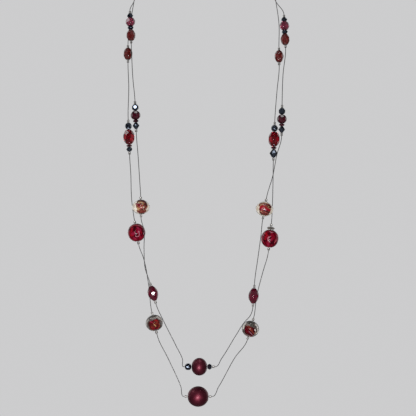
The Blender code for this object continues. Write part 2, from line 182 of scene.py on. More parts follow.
def lay_group(group, names, standoff, crimps):
    """Places a group's beads on a straight axis, and returns the two ends of its run and its heading."""
    lean = math.radians(group.lean)
    x = group.x * MILLIMETRE
    z = group.z * MILLIMETRE
    length = sum(ROOM[kind] for kind in group.beads) + BEAD_GAP * (len(group.beads) - 1)
    reach = Vector((math.sin(lean), 0.0, -math.cos(lean))) * (length / 2)
    start = front_point(x - reach.x, z - reach.z, standoff)
    end = front_point(x + reach.x, z + reach.z, standoff)
    middle = (start + end) / 2
    heading = (end - start).normalized()
    up = -heading
    back = (Vector((0.0, 1.0, 0.0)) - up * up.y).normalized()
    turn = Matrix((back.cross(up), back, up)).transposed().to_4x4()
    along = -length / 2
    for name, kind in zip(names, group.beads):
        centre = middle + heading * (along + ROOM[kind] / 2)
        bead_places[name] = Matrix.Translation(centre) @ turn
        along += ROOM[kind] + BEAD_GAP
    ends = []
    for sign, crimped in zip((-1, 1), group.crimps):
        reach = length / 2 + BEAD_GAP
        if crimped:
            crimps.append((middle + heading * sign * (reach + CRIMP_LENGTH / 2), heading))
            reach += CRIMP_LENGTH
        ends.append(middle + heading * sign * (reach + WIRE_LEAD))
    return ends[0], ends[1], heading


def clasp_loop(side, level):
    """The wire's loop round a clasp ring and back through its crimp, and that crimp's middle."""
    ring_middle = BARREL_LENGTH / 2 + RING_DIAMETER / 2 - RING_SINK
    ring_radius = (RING_DIAMETER - RING_WIRE) / 2
    loop_radius = RING_WIRE / 2 + BEAD_GAP + WIRE_DIAMETER / 2
    loop_height = level * (WIRE_DIAMETER + 2 * BEAD_GAP) / 2
    loop_x = ring_middle + math.sqrt(ring_radius**2 - loop_height**2)
    crimp_x = loop_x + CLASP_LEG + CRIMP_LENGTH / 2
    crimp_height = level * (CRIMP_DIAMETER + BEAD_GAP) / 2
    splay = WIRE_DIAMETER * LEG_SPLAY
    points = [Vector((crimp_x, -splay, crimp_height))]
    for step in range(LOOP_STEPS + 1):
        angle = -math.pi / 2 - math.pi * step / LOOP_STEPS
        x = loop_x + loop_radius * math.cos(angle)
        points.append(Vector((x, loop_radius * math.sin(angle), loop_height)))
    points.append(Vector((crimp_x, splay, crimp_height)))
    points.append(Vector((crimp_x + CRIMP_LENGTH / 2 + WIRE_LEAD, splay, crimp_height)))
    mirror = Matrix.Diagonal((side, 1.0, 1.0))
    return [mirror @ point for point in points], mirror @ Vector((crimp_x, 0.0, crimp_height))


def smooth_way(stations):
    """Points of a smooth wire through the stations, each a point and its heading or None."""
    points = [station[0] for station in stations]
    lengths = [(b - a).length for a, b in zip(points, points[1:])]
    headings = []
    for index, (point, heading) in enumerate(stations):
        if heading is None:
            before = (point - points[index - 1]) / lengths[index - 1]
            after = (points[index + 1] - point) / lengths[index]
            share = lengths[index - 1] / (lengths[index - 1] + lengths[index])
            heading = (before * (1 - share) + after * share).normalized()
        headings.append(heading)
    way = [points[0]]
    for index, length in enumerate(lengths):
        start, end = points[index], points[index + 1]
        leave, arrive = headings[index], headings[index + 1]
        chord = (end - start) / length
        turn = leave.angle(chord) + chord.angle(arrive)
        steps = max(1, math.ceil(turn / WIRE_TURN), math.ceil(length / WIRE_STEP))
        for step in range(1, steps + 1):
            t = step / steps
            way.append(
                start * (2 * t**3 - 3 * t**2 + 1)
                + end * (3 * t**2 - 2 * t**3)
                + leave * length * (t**3 - 2 * t**2 + t)
                + arrive * length * (t**3 - t**2)
            )
    return way


def lay_strand(strand, level, standoff):
    """Lays one strand: places its beads and crimps, and returns the points of its wire."""
    crimps = strand_crimps[strand]

    def stations_of(stops, label):
        stations = []
        number = 0
        digits = 1 if label == "centre" else 2
        for stop in stops:
            if not isinstance(stop, Group):
                place = front_point(stop[0] * MILLIMETRE, stop[1] * MILLIMETRE, standoff)
                stations.append((place, None))
                continue
            names = []
            for kind in stop.beads:
                number += 1
                names.append(f"{strand}_{label}_{number:0{digits}d}_{kind}")
            start, end, heading = lay_group(stop, names, standoff, crimps)
            stations += [(start, heading), (end, heading)]
        return stations

    def down_one_side(label, side):
        loop, crimp = clasp_loop(side, level)
        crimps.append((crimp, Vector((1.0, 0.0, 0.0))))
        stations = [(loop[-1], Vector((side, 0.0, 0.0)))]
        height = level * (CRIMP_DIAMETER + BEAD_GAP) / 2
        for number, (out, forward, down) in enumerate(NECK_ROUTE, start=1):
            share = number / (len(NECK_ROUTE) + 1)
            place = Vector((side * out, -forward, -down)) * MILLIMETRE
            place += Vector((0.0, -standoff * share, height * (1 - share)))
            stations.append((place, None))
        return loop, stations + stations_of(ROUTES[strand][label], label)

    left_loop, left = down_one_side("left", -1)
    right_loop, right = down_one_side("right", 1)
    centre = stations_of([ROUTES[strand]["centre"]], "centre")
    back_up = [(point, heading and -heading) for point, heading in reversed(right)]
    return left_loop[:-1] + smooth_way(left + centre + back_up) + right_loop[-2::-1]


def new_object(name, data):
    """Adds an object to the scene, at the origin."""
    made = bpy.data.objects.new(name, data)
    bpy.context.scene.collection.objects.link(made)
    return made


def new_piece(name, mesh, material, slot, *replaced):
    """Shows a finished mesh as a piece of the necklace with its material; the slot it is given is not
    used.
    """
    mesh.materials.clear()
    mesh.materials.append(material)
    piece = new_object(name, mesh)
    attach(piece, "root")
    if replaced:
        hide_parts(*replaced)


def weld(bm, distance):
    """Merges points that lie this near, and turns all faces outwards."""
    bmesh.ops.remove_doubles(bm, verts=bm.verts, dist=distance)
    bmesh.ops.recalc_face_normals(bm, faces=bm.faces)


def wire_mesh(name, points):
    """A round wire swept along the points, welded and with its ends closed."""
    curve = bpy.data.curves.new(name, "CURVE")
    curve.dimensions = "3D"
    curve.bevel_depth = WIRE_DIAMETER / 2
    curve.bevel_resolution = 3
    curve.use_fill_caps = True
    spline = curve.splines.new("POLY")
    spline.points.add(len(points) - 1)
    for target, point in zip(spline.points, points):
        target.co = (*point, 1.0)
    draft = new_object(name, curve)
    bpy.context.view_layer.update()
    graph = bpy.context.evaluated_depsgraph_get()
    mesh = bpy.data.meshes.new_from_object(draft.evaluated_get(graph))
    bpy.data.objects.remove(draft)
    bm = bmesh.new()
    bm.from_mesh(mesh)
    weld(bm, WIRE_WELD)
    bm.to_mesh(mesh)
    bm.free()
    mesh.shade_smooth()
    return mesh


def set_inputs(node, inputs):
    """Gives a node's inputs their values or the sockets that feed them."""
    for key, value in inputs.items():
        if isinstance(value, bpy.types.NodeSocket):
            node.id_data.links.new(value, node.inputs[key])
        else:
            node.inputs[key].default_value = value


def add_node(tree, kind, inputs=None, **settings):
    """Adds a node with its settings and its inputs."""
    node = tree.nodes.new("ShaderNode" + kind)
    for key, value in settings.items():
        setattr(node, key, value)
    set_inputs(node, inputs or {})
    return node


def new_material(name):
    """A material with its node tree, its Principled shader and the object's own coordinates."""
    material = bpy.data.materials.new(name)
    material.use_nodes = True
    tree = material.node_tree
    place = add_node(tree, "TexCoord").outputs["Object"]
    return material, tree, tree.nodes["Principled BSDF"], place


def add_noise(tree, place, scale, detail, distortion=0.0):
    """A cloudy pattern from 0 to 1."""
    pattern = {"Vector": place, "Scale": scale, "Detail": detail, "Distortion": distortion}
    return add_node(tree, "TexNoise", pattern).outputs["Fac"]


def add_ramp(tree, factor, stops):
    """A colour ramp through the stops, each a position and a colour."""
    ramp = add_node(tree, "ValToRGB", {"Fac": factor})
    elements = ramp.color_ramp.elements
    while len(elements) < len(stops):
        elements.new(1.0)
    for element, (position, colour) in zip(elements, stops):
        element.position = position
        element.color = (*colour, 1.0)
    return ramp.outputs["Color"]


def add_range(tree, value, low, high):
    """Carries a 0 to 1 value into a range."""
    return add_node(tree, "MapRange", {"Value": value, "To Min": low, "To Max": high}).outputs["Result"]


def add_bump(tree, height, strength, distance, below=None):
    """Fine relief from a pattern, on top of the relief below it if there is any."""
    relief = {"Height": height, "Strength": strength, "Distance": distance}
    if below:
        relief["Normal"] = below
    return add_node(tree, "Bump", relief).outputs["Normal"]


def coated_wire():
    """Dark nylon over twisted steel: nearly black, with the lay of the strands just showing."""
    material, tree, shader, place = new_material("coated_wire")
    wear = add_noise(tree, place, 260.0, 4.0)
    lay = add_noise(tree, place, 2600.0, 2.0, 0.6)
    looks = {
        "Base Color": add_ramp(
            tree, wear, [(0.30, (0.016, 0.015, 0.016)), (0.72, (0.055, 0.052, 0.052))]
        ),
        "Roughness": add_range(tree, lay, 0.24, 0.46),
        "Normal": add_bump(tree, lay, 0.35, 0.00006),
        "Metallic": 0.35,
        "Coat Weight": 0.4,
        "Coat Roughness": 0.15,
    }
    set_inputs(shader, looks)
    return material


wire_finish = coated_wire()
for strand, level, standoff in (("short", 1, SHORT_STANDOFF), ("long", -1, 0.0)):
    way = lay_strand(strand, level, standoff)
    wire = wire_mesh(strand + "_wire", way)
    new_piece(strand + "_wire", wire, wire_finish, "dark_wire", strand + "_strand_wire")

# Crimp beads. Short soft metal tubes, silver-grey, threaded on the wire at the ends of a group
# and squeezed with crimping pliers. The jaws leave each one pinched across its middle, with
# slightly flared mouths, and turned at random about the wire.
SPIN_WELD = 0.0005
CRIMP_STEPS = 20
CRIMP_SEED = 11
# The mouth as a share of the radius, its lip in millimetres, and the heights of its two edges
CRIMP_MOUTH = 0.45
CRIMP_LIP = 0.04
CRIMP_THROAT = 0.86
CRIMP_FLARE = 0.97
# The wall from its rim to the middle: radius and height, as shares of the crimp's
CRIMP_WALL = [(0.80, 1.0), (0.94, 0.94), (1.0, 0.78), (0.95, 0.45), (0.92, 0.0)]
CRIMP_JAWS = 0.45
CRIMP_PINCH = 0.26
CRIMP_SPREAD = 0.05


def spin_round(bm, steps):
    """Turns the outline once round Z and welds it into a closed skin."""
    bmesh.ops.spin(
        bm,
        geom=bm.verts[:] + bm.edges[:],
        cent=(0.0, 0.0, 0.0),
        axis=(0.0, 0.0, 1.0),
        angle=math.tau,
        steps=steps,
        use_merge=True,
        use_duplicate=False,
    )
    weld(bm, SPIN_WELD)


def spin_profile(points, steps, closed=True):
    """A skin of revolution from a profile of (radius, height) points."""
    bm = bmesh.new()
    verts = [bm.verts.new((radius, 0.0, height)) for radius, height in points]
    for pair in zip(verts, verts[1:]):
        bm.edges.new(pair)
    if closed:
        bm.edges.new((verts[-1], verts[0]))
    spin_round(bm, steps)
    return bm


def mesh_of(bm, name):
    """Turns a finished skin into a mesh."""
    mesh = bpy.data.meshes.new(name)
    bm.to_mesh(mesh)
    bm.free()
    return mesh


def crimp_mesh():
    """A squeezed crimp, in millimetres about its middle as every bead is until it is placed."""
    radius = CRIMP_DIAMETER / MILLIMETRE / 2
    half = CRIMP_LENGTH / MILLIMETRE / 2
    mouth = radius * CRIMP_MOUTH
    outer = [(mouth, half * CRIMP_THROAT), (mouth + CRIMP_LIP, half * CRIMP_FLARE)]
    outer += [(radius * across, half * up) for across, up in CRIMP_WALL]
    profile = outer + [(r, -h) for r, h in outer[-2::-1]]
    bm = spin_profile(profile, CRIMP_STEPS)
    for vert in bm.verts:
        if math.hypot(vert.co.x, vert.co.y) < mouth + CRIMP_LIP / 2:
            continue
        squeeze = math.exp(-((vert.co.z / (CRIMP_JAWS * half)) ** 2))
        vert.co.x *= 1 - CRIMP_PINCH * squeeze
        vert.co.y *= 1 + CRIMP_SPREAD * squeeze
    return mesh_of(bm, "crimp")


def plated_metal(name, pale, dark, roughness, metallic):
    """Soft plated metal: duller and darker in patches, with fine scratches from handling."""
    material, tree, shader, place = new_material(name)
    patches = add_noise(tree, place, 420.0, 5.0)
    along = add_node(tree, "Mapping", {"Vector": place, "Scale": (900.0, 6000.0, 900.0)})
    scratch = add_noise(tree, along.outputs["Vector"], 1.0, 3.0)
    looks = {
        "Base Color": add_ramp(tree, patches, [(0.32, dark), (0.66, pale)]),
        "Roughness": add_range(tree, scratch, roughness - 0.10, roughness + 0.16),
        "Normal": add_bump(tree, scratch, 0.25, 0.00005),
        "Metallic": metallic,
    }
    set_inputs(shader, looks)
    return material


def to_metres(place, turn=0.0):
    """From millimetres about a bead's middle to its place on the strand, turned about its hole."""
    return place @ Matrix.Rotation(turn, 4, "Z") @ Matrix.Scale(MILLIMETRE, 4)


crimp_finish = plated_metal(
    "crimp_silver", pale=(0.40, 0.385, 0.37), dark=(0.18, 0.172, 0.165), roughness=0.34, metallic=0.7
)
crimp_draft = crimp_mesh()
chance = random.Random(CRIMP_SEED)
for strand, crimps in strand_crimps.items():
    bm = bmesh.new()
    for centre, heading in crimps:
        first = len(bm.verts)
        bm.from_mesh(crimp_draft)
        bm.verts.ensure_lookup_table()
        turn = Vector((0.0, 0.0, 1.0)).rotation_difference(heading).to_matrix().to_4x4()
        place = to_metres(Matrix.Translation(centre) @ turn, chance.uniform(0.0, math.pi))
        bmesh.ops.transform(bm, matrix=place, verts=bm.verts[first:])
    mesh = mesh_of(bm, strand + "_crimps")
    mesh.shade_smooth()
    new_piece(strand + "_crimps", mesh, crimp_finish, "clasp_metal")

# Clasp. A small screw barrel of plated metal at the nape, in two halves that meet in a fine seam.
# Each half has a knurled band for the fingers, and a closed ring soldered to its end, which the
# two wires of that side loop round.
SHARP_ANGLE = math.radians(35)
BARREL_RADIUS = 2.4
BARREL_HALF = BARREL_LENGTH / MILLIMETRE / 2
# The rounded end, from its flat face out: radius and height, as shares of the barrel's
BARREL_END = [(0.434, 1.0), (0.62, 0.985), (0.80, 0.93), (0.92, 0.85), (0.98, 0.74), (1.0, 0.62)]
# The side from there to the seam: depth under the full radius, and height. The knurled band lies
# between two grooves.
BARREL_SIDE = [(0.0, 2.75), (0.16, 2.62), (0.02, 2.5), (0.02, 0.9), (0.16, 0.78), (0.0, 0.65)]
BARREL_SEAM = [(0.0, 0.16), (0.20, 0.05)]
KNURL = (0.88, 2.52)
KNURL_DEPTH = 0.10
KNURL_COUNT = 32
RING_SIDES = 16
RING_STEPS = 48


def clasp_barrel():
    """The barrel about its middle, in millimetres: rounded ends, seam and two knurled bands."""
    side = [(0.0, BARREL_HALF)]
    side += [(across * BARREL_RADIUS, up * BARREL_HALF) for across, up in BARREL_END]
    side += [(BARREL_RADIUS - depth, height) for depth, height in BARREL_SIDE + BARREL_SEAM]
    profile = side + [(radius, -height) for radius, height in reversed(side)]
    bm = spin_profile(profile, KNURL_COUNT * 2, closed=False)
    share = 1 - KNURL_DEPTH / BARREL_RADIUS
    for vert in bm.verts:
        banded = KNURL[0] < abs(vert.co.z) < KNURL[1]
        step = round(math.atan2(vert.co.y, vert.co.x) / math.tau * KNURL_COUNT * 2)
        if banded and step % 2:
            vert.co.x *= share
            vert.co.y *= share
    return mesh_of(bm, "clasp_barrel")


def ring_mesh(name):
    """A ring of round wire about Y, in millimetres."""
    bm = bmesh.new()
    bmesh.ops.create_circle(bm, segments=RING_SIDES, radius=RING_WIRE / MILLIMETRE / 2)
    reach = (RING_DIAMETER - RING_WIRE) / MILLIMETRE / 2
    upright = Matrix.Rotation(math.pi / 2, 4, "X")
    bmesh.ops.transform(bm, matrix=Matrix.Translation((reach, 0.0, 0.0)) @ upright, verts=bm.verts)
    spin_round(bm, RING_STEPS)
    bmesh.ops.transform(bm, matrix=upright, verts=bm.verts)
    mesh = mesh_of(bm, name)
    mesh.shade_smooth()
    return mesh


clasp_finish = plated_metal(
    "clasp_plating", pale=(0.60, 0.59, 0.58), dark=(0.34, 0.33, 0.33), roughness=0.26, metallic=0.95
)
barrel = clasp_barrel()
barrel.transform(to_metres(Matrix.Rotation(math.pi / 2, 4, "Y")))
barrel.shade_smooth()
barrel.set_sharp_from_angle(angle=SHARP_ANGLE)
new_piece("clasp_barrel", barrel, clasp_finish, "clasp_metal", "barrel_clasp")
for side, label in ((-1, "left"), (1, "right")):
    ring = ring_mesh("clasp_ring_" + label)
    reach = side * (BARREL_LENGTH / 2 + RING_DIAMETER / 2 - RING_SINK)
    ring.transform(to_metres(Matrix.Translation((reach, 0.0, 0.0))))
    new_piece("clasp_ring_" + label, ring, clasp_finish, "clasp_metal")

# Jet beads. Black cut glass: small rounds, rondelle spacers and bicones that part the coloured
# beads. Each is a pressed blank with its facets ground flat, then held in the flame, which
# softens the edges. A bluish-grey lustre lies on the black.
BORE = 0.55
FACETS = 8
EDGE = 0.05
# The blank, larger than the bead that is ground from it, which has a radius of 1
BLANK_RADIUS = 1.6
BLANK_LENGTH = 4.0
# How far the hand strays: round the bead in radians, in tilt in degrees, and in depth
STRAY_TURN = 0.010
STRAY_TILT = 0.8
STRAY_DEPTH = 0.006
# How near a cut a point counts as on it, and how near points are merged: after all the cuts, as
# slivers of facets, and after the softening
CUT_TOUCH = 0.0001
CUT_WELD = 0.002
CUT_SLIVER = 0.004
EDGE_WELD = 0.001
FLAT = 0.99
# How a blank of radius 1 is cut: where its flat ends are, then the rows of facets, each with its
# tilt up from level, its turn in facets and its depth. Each tilted row has its twin below.
ROUND_CUT = (0.92, (0, 0, 1.0), (38, 0.5, 1.0), (64, 0, 1.0))
SPACER_CUT = (0.80, (30, 0, 1.0), (56, 0.5, 1.04))
BICONE_CUT = (0.90, (45, 0, 1.0))
# Width, cut and the hand's seed of each kind
JETS = {
    "jet_spacer": (4.4, SPACER_CUT, 1974),
    "jet_round": (4.8, ROUND_CUT, 2743),
    "jet_bicone": (5.0, BICONE_CUT, 110),
    "jet_bicone_large": (6.1, BICONE_CUT, 110),
}


def grind(bm, normal, distance):
    """Takes off all that is beyond one plane, and leaves one flat face."""
    cut = bmesh.ops.bisect_plane(
        bm,
        geom=bm.verts[:] + bm.edges[:] + bm.faces[:],
        dist=CUT_TOUCH,
        plane_co=normal * distance,
        plane_no=normal,
        clear_outer=True,
    )
    rim = [edge for edge in cut["geom_cut"] if isinstance(edge, bmesh.types.BMEdge)]
    if len(rim) > 2:
        bmesh.ops.contextual_create(bm, geom=rim)


def grind_row(bm, tilt, turn, depth, hand):
    """Grinds one ring of facets round the bead."""
    for facet in range(FACETS):
        angle = (facet + turn) * math.tau / FACETS + hand.gauss(0.0, STRAY_TURN)
        lean = math.radians(tilt + hand.gauss(0.0, STRAY_TILT))
        x = math.cos(lean) * math.cos(angle)
        y = math.cos(lean) * math.sin(angle)
        grind(bm, Vector((x, y, math.sin(lean))), depth + hand.gauss(0.0, STRAY_DEPTH))


def drill(bm):
    """Opens the hole between the two flat ends."""
    mouths = []
    for sign in (1, -1):
        flat = [face for face in bm.faces if abs(face.normal.z) > FLAT]
        cap = max(flat, key=lambda face: face.normal.z * sign * face.calc_area())
        reach = min((edge.verts[0].co + edge.verts[1].co).xy.length / 2 for edge in cap.edges)
        bmesh.ops.inset_region(bm, faces=[cap], thickness=reach - BORE, use_even_offset=True)
        mouths.append(cap)
    loops = [edge for cap in mouths for edge in cap.edges]
    bmesh.ops.delete(bm, geom=mouths, context="FACES_ONLY")
    bmesh.ops.bridge_loops(bm, edges=loops)


def cut_bead(name, width, length, cut, seed):
    """A drilled bead with ground facets and softened edges, in millimetres about its middle."""
    hand = random.Random(seed)
    end, *rows = cut
    bm = bmesh.new()
    bmesh.ops.create_cone(
        bm,
        cap_ends=True,
        segments=4 * FACETS,
        radius1=BLANK_RADIUS,
        radius2=BLANK_RADIUS,
        depth=BLANK_LENGTH,
    )
    for tilt, turn, depth in rows:
        for sign in (1, -1) if tilt else (1,):
            grind_row(bm, sign * tilt, turn, depth, hand)
    for sign in (1, -1):
        grind(bm, Vector((0.0, 0.0, sign)), end)
    bmesh.ops.remove_doubles(bm, verts=bm.verts, dist=CUT_WELD)
    across = width / 2 / max(math.hypot(vert.co.x, vert.co.y) for vert in bm.verts)
    bmesh.ops.scale(bm, vec=(across, across, length / 2 / end), verts=bm.verts)
    bmesh.ops.dissolve_degenerate(bm, dist=CUT_SLIVER, edges=bm.edges)
    bm.normal_update()
    drill(bm)
    bmesh.ops.bevel(
        bm,
        geom=bm.edges[:],
        offset=EDGE,
        segments=2,
        profile=0.5,
        affect="EDGES",
        material=-1,
        clamp_overlap=True,
    )
    weld(bm, EDGE_WELD)
    return mesh_of(bm, name)


def cut_glass(name, body, deep, clear, gloss, ior=1.54, tint=(1.0, 1.0, 1.0)):
    """Transparent or black glass: faint streaks in the body, fire-polished facets a little domed.

    It takes its two shades, how clear it is and how rough its gloss is.
    """
    material, tree, shader, place = new_material(name)
    streaks = add_noise(tree, place, 300.0, 3.0, 1.4)
    wear = add_noise(tree, place, 1900.0, 4.0)
    domes = add_bump(tree, add_noise(tree, place, 400.0, 0.0), 0.25, 0.00030)
    looks = {
        "Base Color": add_ramp(tree, streaks, [(0.30, deep), (0.68, body)]),
        "Roughness": add_range(tree, wear, gloss * 0.3, gloss * 1.9),
        "Normal": add_bump(tree, wear, 0.10, 0.00004, domes),
        "IOR": ior,
        "Transmission Weight": clear,
        "Specular Tint": (*tint, 1.0),
    }
    set_inputs(shader, looks)
    return material


def beads_of(kind):
    """The names of all the beads of one kind, in the order of the strands."""
    return sorted(name for name in bead_places if name.split("_", 3)[3] == kind)


def string_cut_beads(kind, width, cut, material, slot, seed):
    """Makes each bead of a cut kind, no two of them ground or turned quite alike."""
    for number, name in enumerate(beads_of(kind)):
        mesh = cut_bead(name + "_cut", width, ROOM[kind] / MILLIMETRE, cut, seed + number)
        turn = random.Random(seed * 7 + number).uniform(0.0, math.tau)
        mesh.transform(to_metres(bead_places[name], turn))
        new_piece(name + "_cut", mesh, material, slot, name)


jet_finish = cut_glass(
    "jet", (0.006, 0.007, 0.012), (0.002, 0.002, 0.004), 0.0, 0.04, ior=1.95, tint=(0.66, 0.79, 1.0)
)
for kind, (width, cut, seed) in JETS.items():
    string_cut_beads(kind, width, cut, jet_finish, "jet_glass", seed)

# Rose beads. Rose-pink rounds of bright, dense glass, cut and fire-polished, between two spacers
# near the top of the short strand. Their facets throw white and pink glints.
ROSE_WIDTH = 6.7
rose_finish = cut_glass(
    "rose", (0.36, 0.070, 0.125), (0.20, 0.028, 0.052), 0.7, 0.05, ior=1.66, tint=(1.0, 0.86, 0.92)
)
string_cut_beads("rose_round", ROSE_WIDTH, ROUND_CUT, rose_finish, "rose_glass", seed=253)

# Brick-red ovals. Cloudier transparent glass, the red of old brick, cut as small olives. One
# closes each upper group of the short strand, and one hangs alone on each side of the long one.
BRICK_WIDTH = 6.4
OVAL_CUT = (0.93, (0, 0, 1.0), (34, 0.5, 0.99), (60, 0, 1.0))
brick_finish = cut_glass("brick", (0.20, 0.025, 0.023), (0.09, 0.008, 0.007), 0.5, 0.06)
string_cut_beads("brick_oval", BRICK_WIDTH, OVAL_CUT, brick_finish, "brick_glass", seed=333)

# Garnet beads. Dark wine rounds and thin rondelles, cut from glass that is transparent but nearly
# black. The rondelles lie under the garnet rounds and under the ruby ovals.
GARNET_WIDTH = 6.8
RONDELLE_WIDTH = 4.2
RONDELLE_CUT = (0.70, (30, 0, 1.0), (56, 0.5, 1.04))
garnet_finish = cut_glass("garnet", (0.11, 0.006, 0.020), (0.04, 0.002, 0.008), 0.6, 0.06)
for kind, width, cut, seed in (
    ("garnet_round", GARNET_WIDTH, ROUND_CUT, 420),
    ("garnet_rondelle", RONDELLE_WIDTH, RONDELLE_CUT, 450),
):
    string_cut_beads(kind, width, cut, garnet_finish, "garnet_glass", seed)

# Ruby ovals. The clearest cut beads: larger olives of bright red glass that light up from inside,
# one on each side of the long strand.
RUBY_WIDTH = 8.1
ruby_finish = cut_glass("ruby", (0.40, 0.010, 0.022), (0.17, 0.004, 0.009), 0.8, 0.04)
string_cut_beads("ruby_oval", RUBY_WIDTH, OVAL_CUT, ruby_finish, "ruby_glass", seed=543)

# Cranberry drops. Long double-tapered beads of cranberry red glass, with lozenge facets round the
# middle that throw one bright glint. One hangs low on each side of the short strand.
DROP_WIDTH = 7.4
DROP_CUT = (0.93, (0, 0, 1.0), (30, 0.5, 0.945), (50, 0, 0.93))
drop_finish = cut_glass("cranberry", (0.22, 0.010, 0.040), (0.09, 0.004, 0.013), 0.6, 0.05)
string_cut_beads("cranberry_bicone", DROP_WIDTH, DROP_CUT, drop_finish, "cranberry_glass", seed=2109)

# Cap disc. One thin disc of clear glass, smoky beige, cut like a rondelle. It sits on the right
# crimson bead like a lid.
CAP_WIDTH = 5.6
cap_finish = cut_glass("smoky_clear", (0.34, 0.31, 0.28), (0.20, 0.18, 0.16), 0.6, 0.08)
string_cut_beads("cap_disc", CAP_WIDTH, RONDELLE_CUT, cap_finish, "clear_glass", seed=700)

# Lampwork beads. Wound by hand from rods of soft glass on a steel rod, marvered round, then
# decorated with trails, petals and dots of other colours that are melted in. No two are alike.
# A place on a bead is in millimetres across and up from its middle, as seen from the front.
AROUND = 132
UP = 80
WOUND_END = 0.30
DIMPLE_SHARE = 0.72
DIMPLE_DEPTHS = (0.05, 0.35, 0.55)
BORE_FLARE = 0.12
STROKE_STEP = 0.5
STROKE_LEAST = 1e-9
EDGE_OF_SKIN = 0.985
# How wide the clouds of the base colours, their fine streaks and a trail's wander are
CLOUD_SIZE = 2.6
STREAK_SIZE = 0.8
WANDER_SIZE = 1.5
CLOUD_CONTRAST = 2.4
# The clouds' noise: how fast its finer layers fade, their step in scale and their number
CLOUD_NOISE = (0.8, 2.0, 3)
CLOUD_GAIN = 0.42
CLOUD_SHIFT = (3.7, 1.3, 7.1)
# What the streaks and the wander add to a bead's seed
STREAK_SEED = 5
WANDER_SEED = 9
TRAIL_WANDER = 0.22
TRAIL_SOFTNESS = 0.2
TRAIL_SHADES = (0.72, 0.56)
# The skin lies a little under the body's measure, with low waves, and is left alone at the holes
SKIN_SINK = 0.06
SKIN_WAVES = 0.06
SKIN_FROM = 0.17
MOST_RELIEF = 0.12


class Body(NamedTuple):
    """A wound body: width, length, fullness (1 for an ellipse), and the width of its ends."""

    width: float
    length: float
    fullness: float
    end: float = WOUND_END


class Trail(NamedTuple):
    """A trail or dot of glass: colour, places (across and up, in turn), width, relief, clearness."""

    colour: tuple
    places: tuple
    width: float
    relief: float = 0.0
    clear: float = 0.0


def skin_radius(body, up):
    """How far the skin lies from the hole's axis at a height."""
    end_sine = math.sqrt(1 - body.end ** (2 / body.fullness))
    sine = min(1.0, abs(2 * up / body.length)) * end_sine
    return body.width / 2 * (1 - sine**2) ** (body.fullness / 2)


def wound_bead(name, body):
    """The wound body, fuller or leaner than an ellipse, with dimpled ends round the hole."""
    end_angle = math.acos(body.end ** (1 / body.fullness))
    outer = []
    for step in range(UP + 1):
        angle = end_angle * (1 - 2 * step / UP)
        height = body.length / 2 * math.sin(angle) / math.sin(end_angle)
        outer.append((skin_radius(body, height), height))
    radii = (outer[0][0] * DIMPLE_SHARE, BORE + BORE_FLARE, BORE)
    dimple = [(radius, body.length / 2 - depth) for radius, depth in zip(radii, DIMPLE_DEPTHS)]
    foot = [(radius, -height) for radius, height in reversed(dimple)]
    return mesh_of(spin_profile(dimple[::-1] + outer + foot, AROUND), name)


def stroke_on(body, places, turn):
    """Points that follow the skin along a trail, turned round the bead by some degrees."""
    bends = list(zip(places[::2], places[1::2]))
    marks = [bends[0]]
    for (x, z), (next_x, next_z) in zip(bends, bends[1:]):
        steps = max(1, math.ceil(math.hypot(next_x - x, next_z - z) / STROKE_STEP))
        for step in range(1, steps + 1):
            share = step / steps
            marks.append((x + (next_x - x) * share, z + (next_z - z) * share))
    points = []
    for x, z in marks:
        reach = skin_radius(body, z)
        across = max(-EDGE_OF_SKIN, min(EDGE_OF_SKIN, x / reach))
        points.append((reach * across, -reach * math.sqrt(1 - across**2), z))
    spin = np.array(Matrix.Rotation(math.radians(turn), 3, "Z"))
    return np.array(points) @ spin.T


def stroke_distance(points, stroke):
    """Distance of many points from one stroke."""
    away = np.linalg.norm(points - stroke[0], axis=1)
    for start, end in zip(stroke, stroke[1:]):
        way = end - start
        share = np.clip(((points - start) @ way) / max(way @ way, STROKE_LEAST), 0.0, 1.0)
        away = np.minimum(away, np.linalg.norm(points - (start + share[:, None] * way), axis=1))
    return away


def mottle(points, size, seed):
    """A cloudy value from 0 to 1 at each point, its clouds about that many millimetres across."""
    shift = Vector([seed * step for step in CLOUD_SHIFT])
    values = [noise.fractal(Vector(point) / size + shift, *CLOUD_NOISE) for point in points]
    return np.clip(0.5 + CLOUD_GAIN * np.array(values), 0.0, 1.0)


